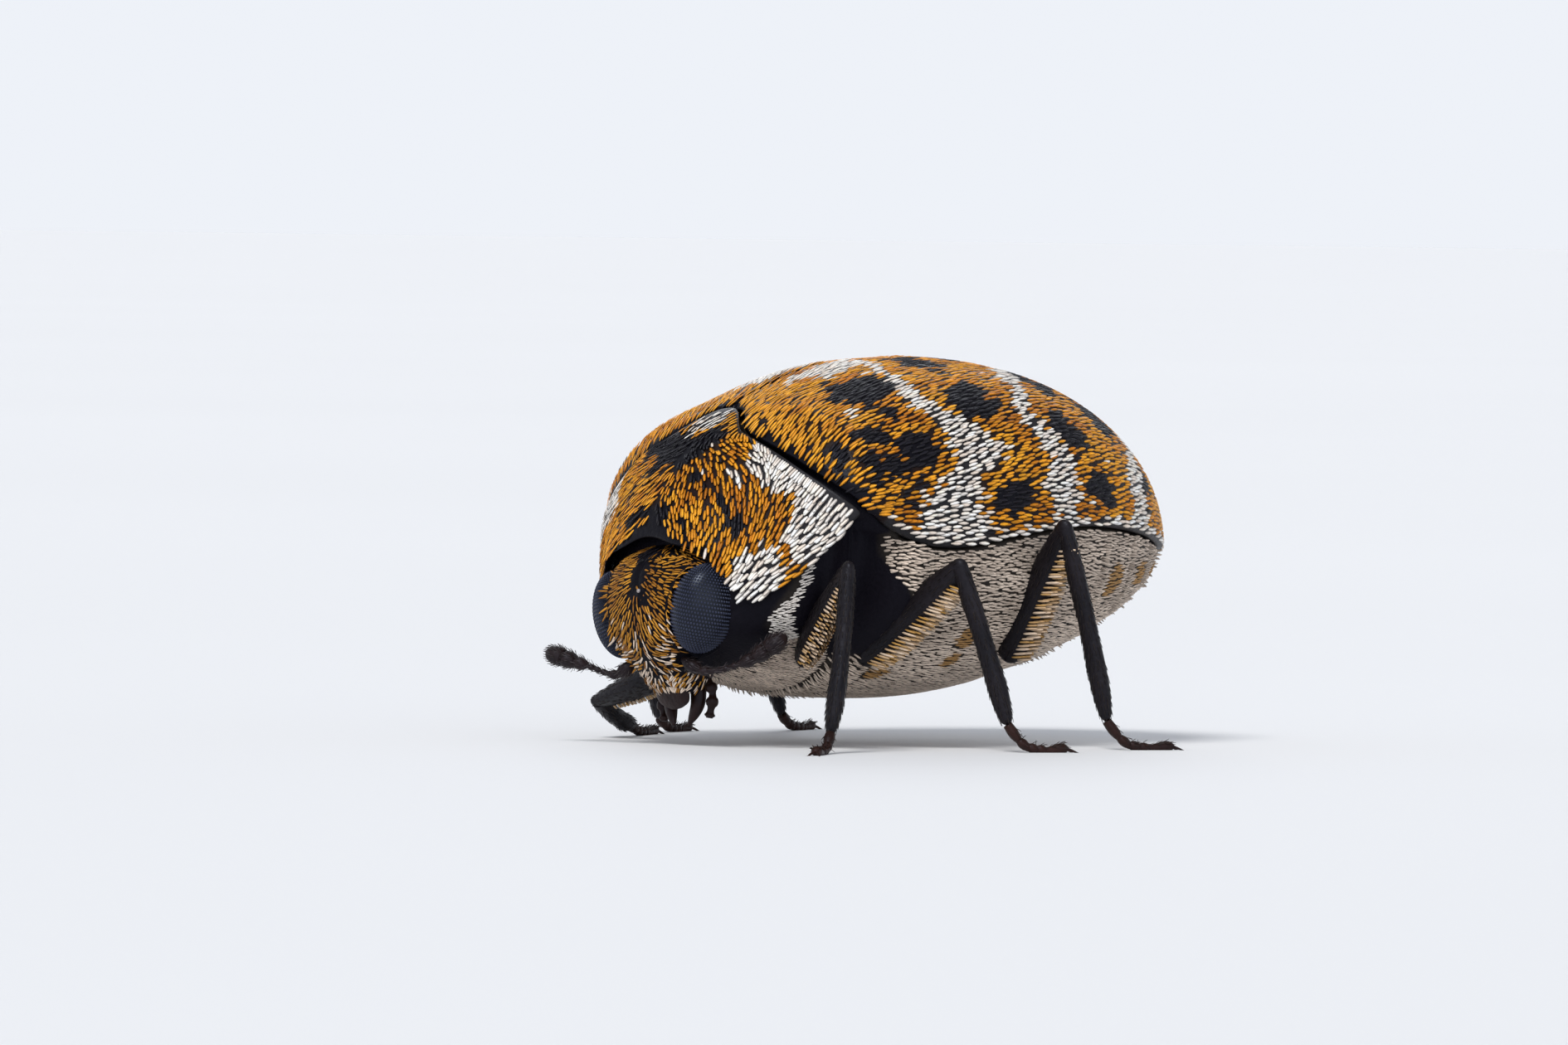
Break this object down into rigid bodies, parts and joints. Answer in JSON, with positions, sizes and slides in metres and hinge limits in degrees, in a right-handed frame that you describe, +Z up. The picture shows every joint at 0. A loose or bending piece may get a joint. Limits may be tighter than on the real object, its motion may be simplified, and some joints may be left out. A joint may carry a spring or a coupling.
{
  "type": "varied carpet beetle",
  "caption": "Life-size still model of a small round carpet beetle in ochre, black and white scales, standing on its own feet.",
  "frame": {"origin": "floor level under the middle of the bounding box", "axes": "+Y from head to tail, +Z up, +X to the animal's left"},
  "size_m": [0.0026, 0.0028, 0.0017],
  "materials": {
    "ochre_scales": "ochre, black and white leaf-like scales over black shell",
    "pale_scales": "fine pale grey-beige scales over black shell",
    "black_shell": "smooth, slightly glossy black shell",
    "eye_facets": "faceted blue-black compound eye",
    "brown_shell": "dark reddish-brown shell"
  },
  "bodies": {
    "root": {"abdomen_1": "pale_scales", "abdomen_2": "pale_scales", "abdomen_3": "pale_scales", "abdomen_4": "pale_scales", "abdomen_5": "pale_scales", "antenna_left": "brown_shell", "antenna_right": "brown_shell", "elytron_left": "ochre_scales", "elytron_right": "ochre_scales", "eye_left": "eye_facets", "eye_right": "eye_facets", "head": "ochre_scales", "labrum": "ochre_scales", "leg_front_left_femur": "black_shell", "leg_front_left_tarsus": "brown_shell", "leg_front_left_tibia": "black_shell", "leg_front_right_femur": "black_shell", "leg_front_right_tarsus": "brown_shell", "leg_front_right_tibia": "black_shell", "leg_hind_left_femur": "black_shell", "leg_hind_left_tarsus": "brown_shell", "leg_hind_left_tibia": "black_shell", "leg_hind_right_femur": "black_shell", "leg_hind_right_tarsus": "brown_shell", "leg_hind_right_tibia": "black_shell", "leg_middle_left_femur": "black_shell", "leg_middle_left_tarsus": "brown_shell", "leg_middle_left_tibia": "black_shell", "leg_middle_right_femur": "black_shell", "leg_middle_right_tarsus": "brown_shell", "leg_middle_right_tibia": "black_shell", "mandible_left": "brown_shell", "mandible_right": "brown_shell", "mesothorax": "black_shell", "metathorax": "pale_scales", "palp_left": "brown_shell", "palp_right": "brown_shell", "pronotum": "ochre_scales", "prothorax": "pale_scales"}
  },
  "joints": []
}
